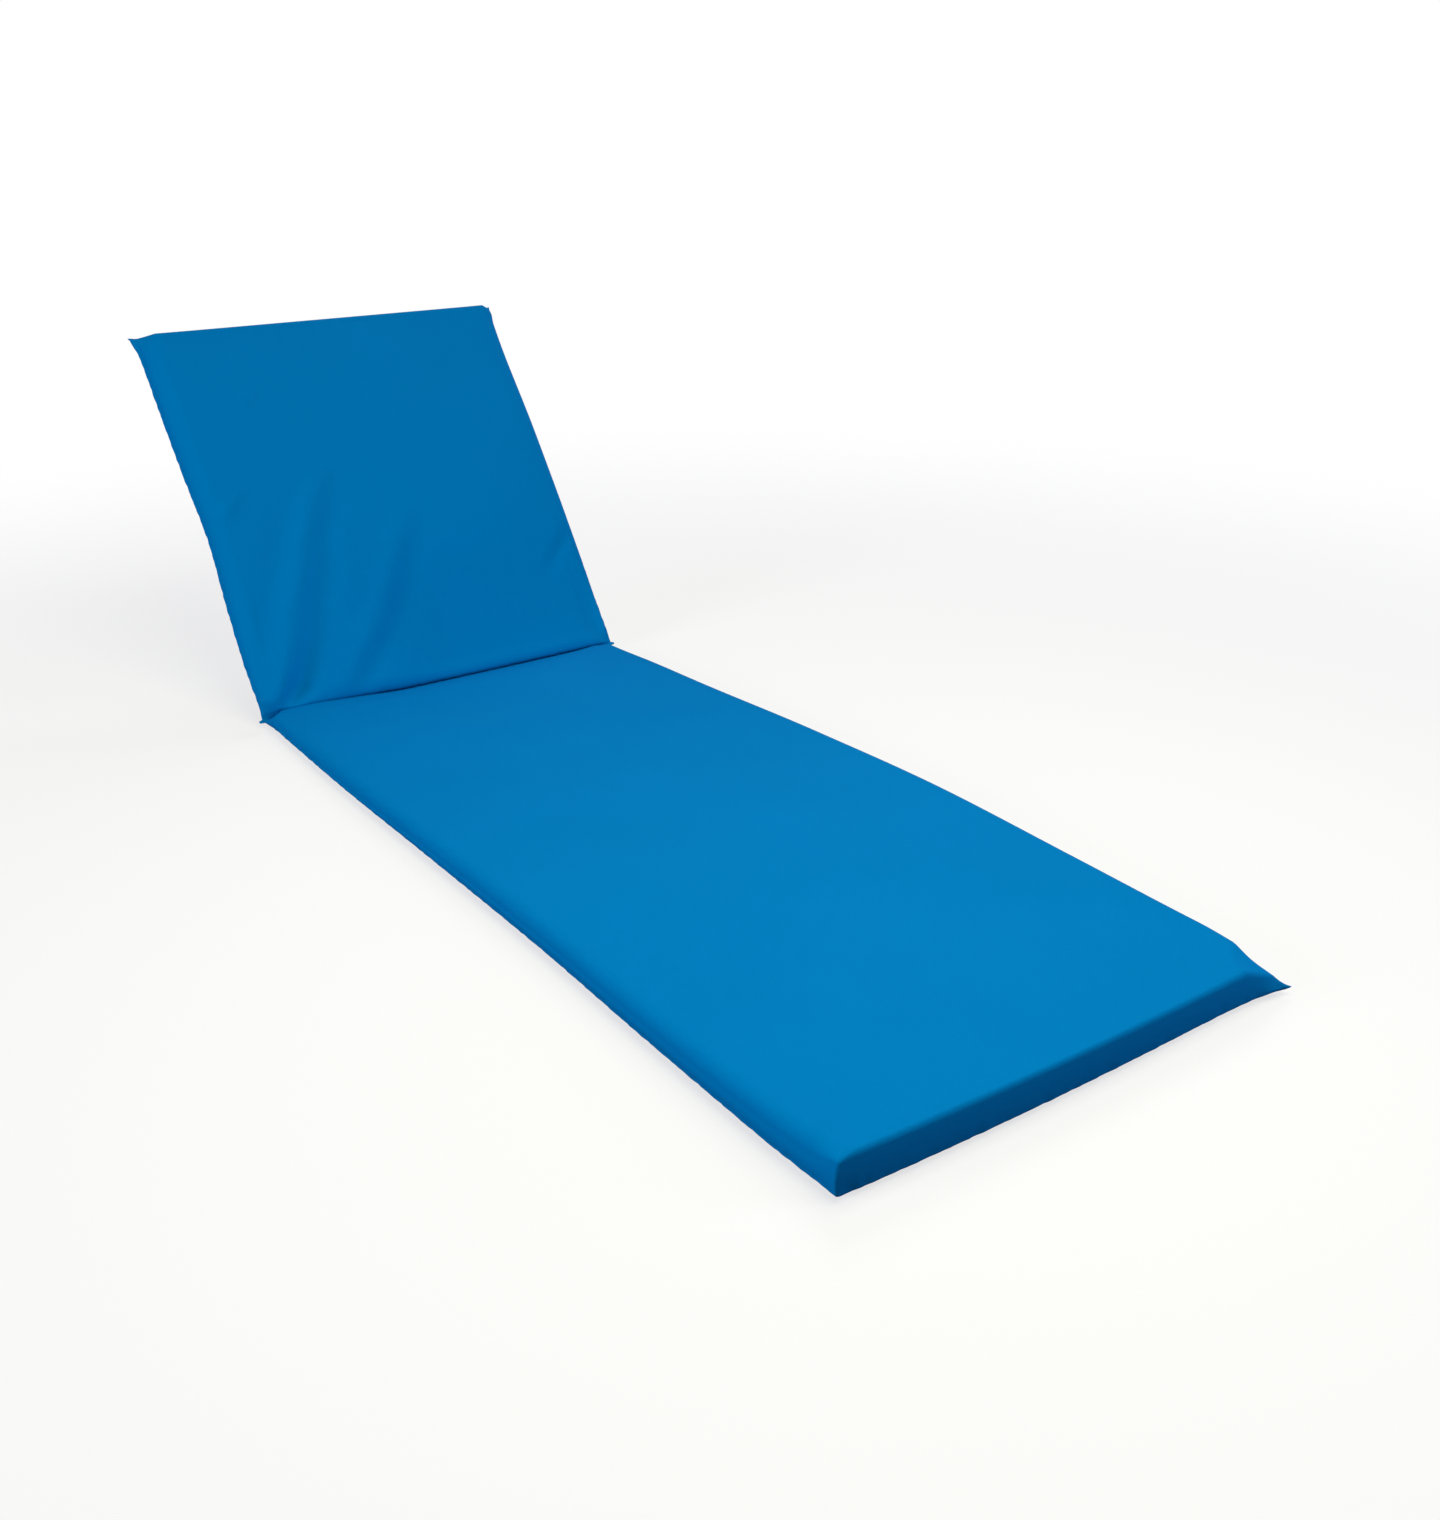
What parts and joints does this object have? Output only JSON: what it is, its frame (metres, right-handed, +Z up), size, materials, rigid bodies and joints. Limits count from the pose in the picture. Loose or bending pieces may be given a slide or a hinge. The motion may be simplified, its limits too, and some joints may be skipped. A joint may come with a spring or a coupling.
{
  "type": "sun lounger cushion",
  "caption": "Sun lounger cushion: a long flat seat pad and a shorter back pad raised at a stitched fold, in plain blue woven cloth with pinched corners.",
  "frame": {"origin": "on the seat pad's flat underside, on the centre line, halfway between the foot end and the fold", "axes": "+Y along the cushion from the foot end towards the raised back, +Z up, X across"},
  "size_m": [0.6095, 1.7038, 0.5118],
  "materials": {
    "cover_cloth": "matte woven polyester, plain blue"
  },
  "bodies": {
    "root": {"seat_panel": "cover_cloth", "back_panel": "cover_cloth", "hinge_strip": "cover_cloth"}
  },
  "joints": []
}
